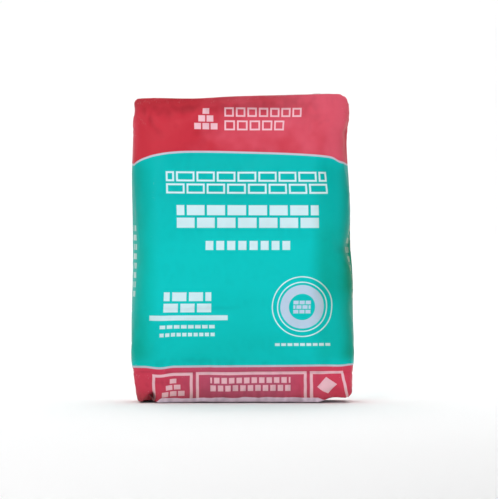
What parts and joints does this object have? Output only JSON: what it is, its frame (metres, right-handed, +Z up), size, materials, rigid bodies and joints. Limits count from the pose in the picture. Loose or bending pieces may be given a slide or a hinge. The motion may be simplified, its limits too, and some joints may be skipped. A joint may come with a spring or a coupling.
{
  "type": "cement bag",
  "caption": "Filled block-bottom valve sack of cement, standing on its flat base, with printed woven faces, folded ends and a closed filling valve.",
  "frame": {"origin": "middle of the bag's footprint, on the surface that it stands on", "axes": "+Z up along the bag's height, +X across its width, +Y from the printed front to the back"},
  "size_m": [0.438, 0.152, 0.604],
  "materials": {
    "printed_sack_cloth": "laminated woven cloth, printed, semi-gloss",
    "plain_sack_cloth": "laminated woven cloth, unprinted, dusty",
    "valve_cloth": "uncoated woven cloth, dusty"
  },
  "bodies": {
    "root": {"filled_sack": "printed_sack_cloth", "bottom_cover_patch": "plain_sack_cloth", "top_cover_patch": "plain_sack_cloth", "valve_sleeve": "valve_cloth"}
  },
  "joints": []
}
